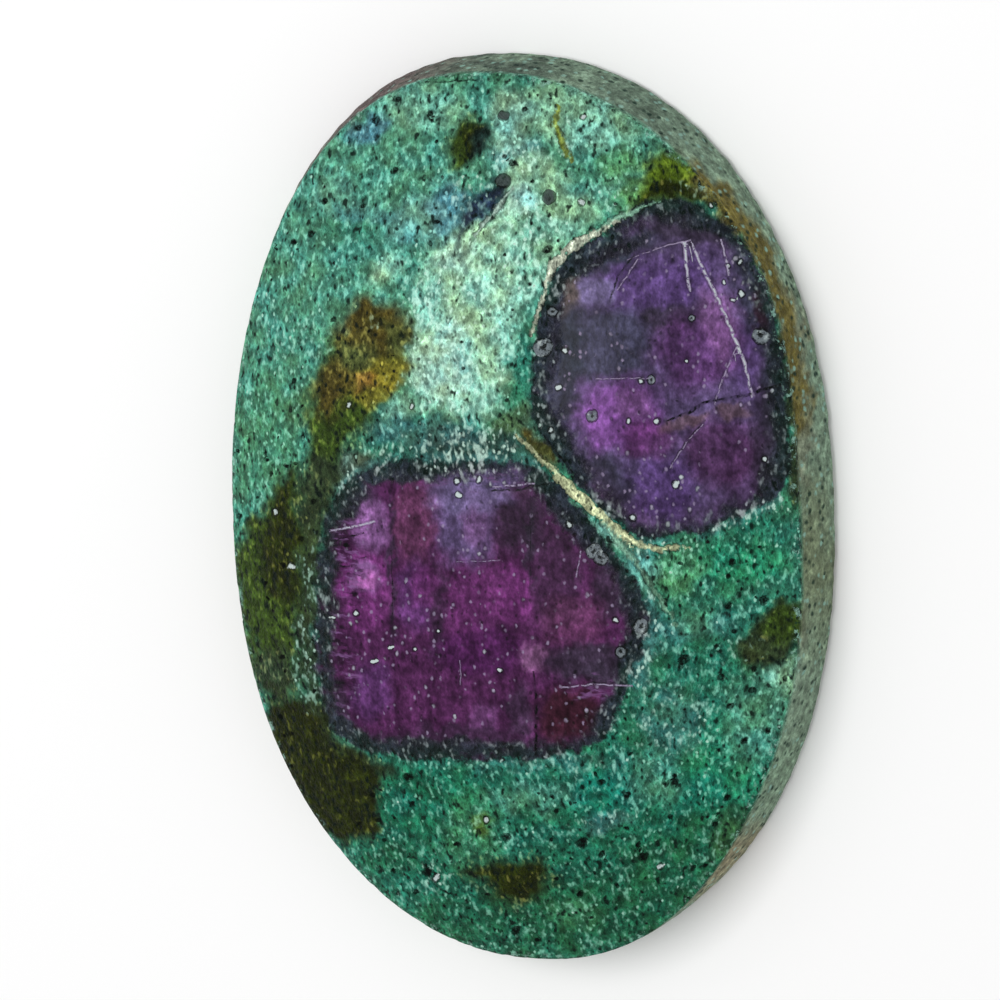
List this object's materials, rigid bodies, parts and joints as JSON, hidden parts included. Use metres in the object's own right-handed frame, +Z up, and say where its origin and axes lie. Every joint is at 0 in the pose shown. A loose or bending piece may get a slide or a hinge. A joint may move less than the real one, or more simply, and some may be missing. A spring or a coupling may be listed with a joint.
{
  "type": "ruby in fuchsite cabochon",
  "caption": "Oval domed cabochon of green fuchsite with flush purple ruby crystals, a plain side wall and a flat underside.",
  "frame": {"origin": "middle of the flat underside, at the centre of the bounding box in X and Y", "axes": "+Z up through the dome, +Y along the long axis, +X across"},
  "size_m": [0.0232, 0.0344, 0.0058],
  "materials": {
    "stone": "hand polished"
  },
  "bodies": {
    "root": {"cabochon": "stone"}
  },
  "joints": []
}
